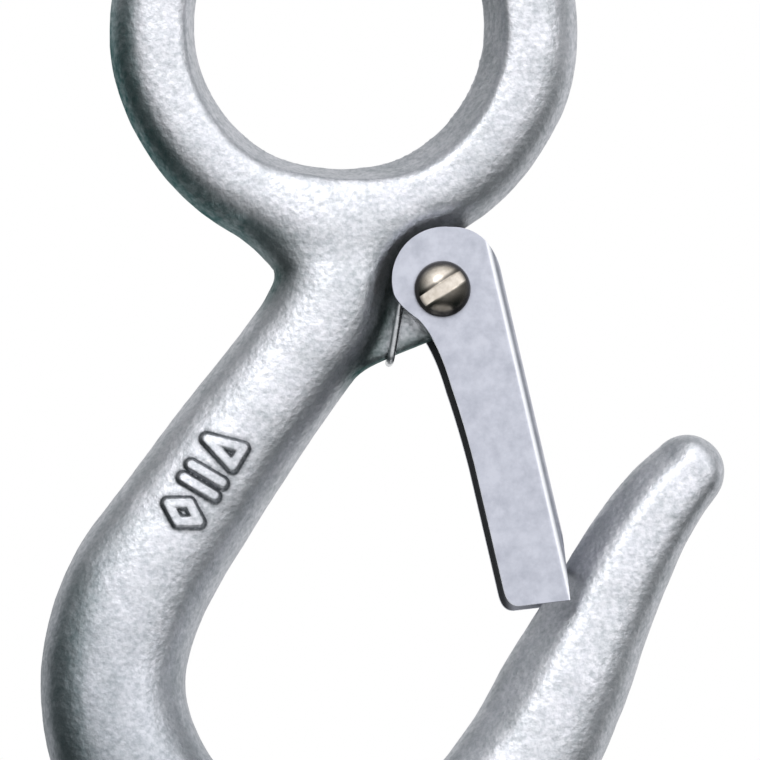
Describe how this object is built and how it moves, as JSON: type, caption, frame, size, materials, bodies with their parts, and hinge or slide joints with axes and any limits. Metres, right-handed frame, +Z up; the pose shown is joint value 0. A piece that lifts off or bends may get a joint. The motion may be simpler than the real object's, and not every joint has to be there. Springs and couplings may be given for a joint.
{
  "type": "eye hook with latch",
  "caption": "Galvanised forged lifting hook with a fixed round eye and a sprung folded-sheet latch that closes its throat and swings inward.",
  "frame": {"origin": "centre of the eye's round outside, on its mid-plane, with the hook hanging", "axes": "+Z up through the eye, +X towards the throat and the point, +Y along the eye's hole, away from the side that the screw's head is on"},
  "size_m": [0.0853, 0.0236, 0.1467],
  "materials": {
    "galvanised_forging": "hot-dip galvanised, satin, finely mottled over a forged surface",
    "zinc_plated_sheet": "zinc-plated, satin",
    "nickel_plated_screw": "nickel-plated, glossy, warm",
    "plated_nut": "zinc-plated, bright",
    "nylon_insert": "natural nylon",
    "spring_wire": "bright drawn spring wire"
  },
  "bodies": {
    "hook": {"hook_body": "galvanised_forging", "pivot_screw": "nickel_plated_screw", "lock_nut": "plated_nut", "lock_nut_insert": "nylon_insert", "latch_spring": "spring_wire"},
    "latch": {"latch": "zinc_plated_sheet"}
  },
  "joints": [
    {"name": "latch_pivot", "type": "hinge", "parent": "hook", "child": "latch", "pos_m": [0.012, 0, -0.0328], "axis": [0, 1, 0], "range_deg": [0, 52], "stiffness_Nm_per_rad": 0.03, "springref_deg": -68.75, "deforming": ["latch_spring"]}
  ]
}
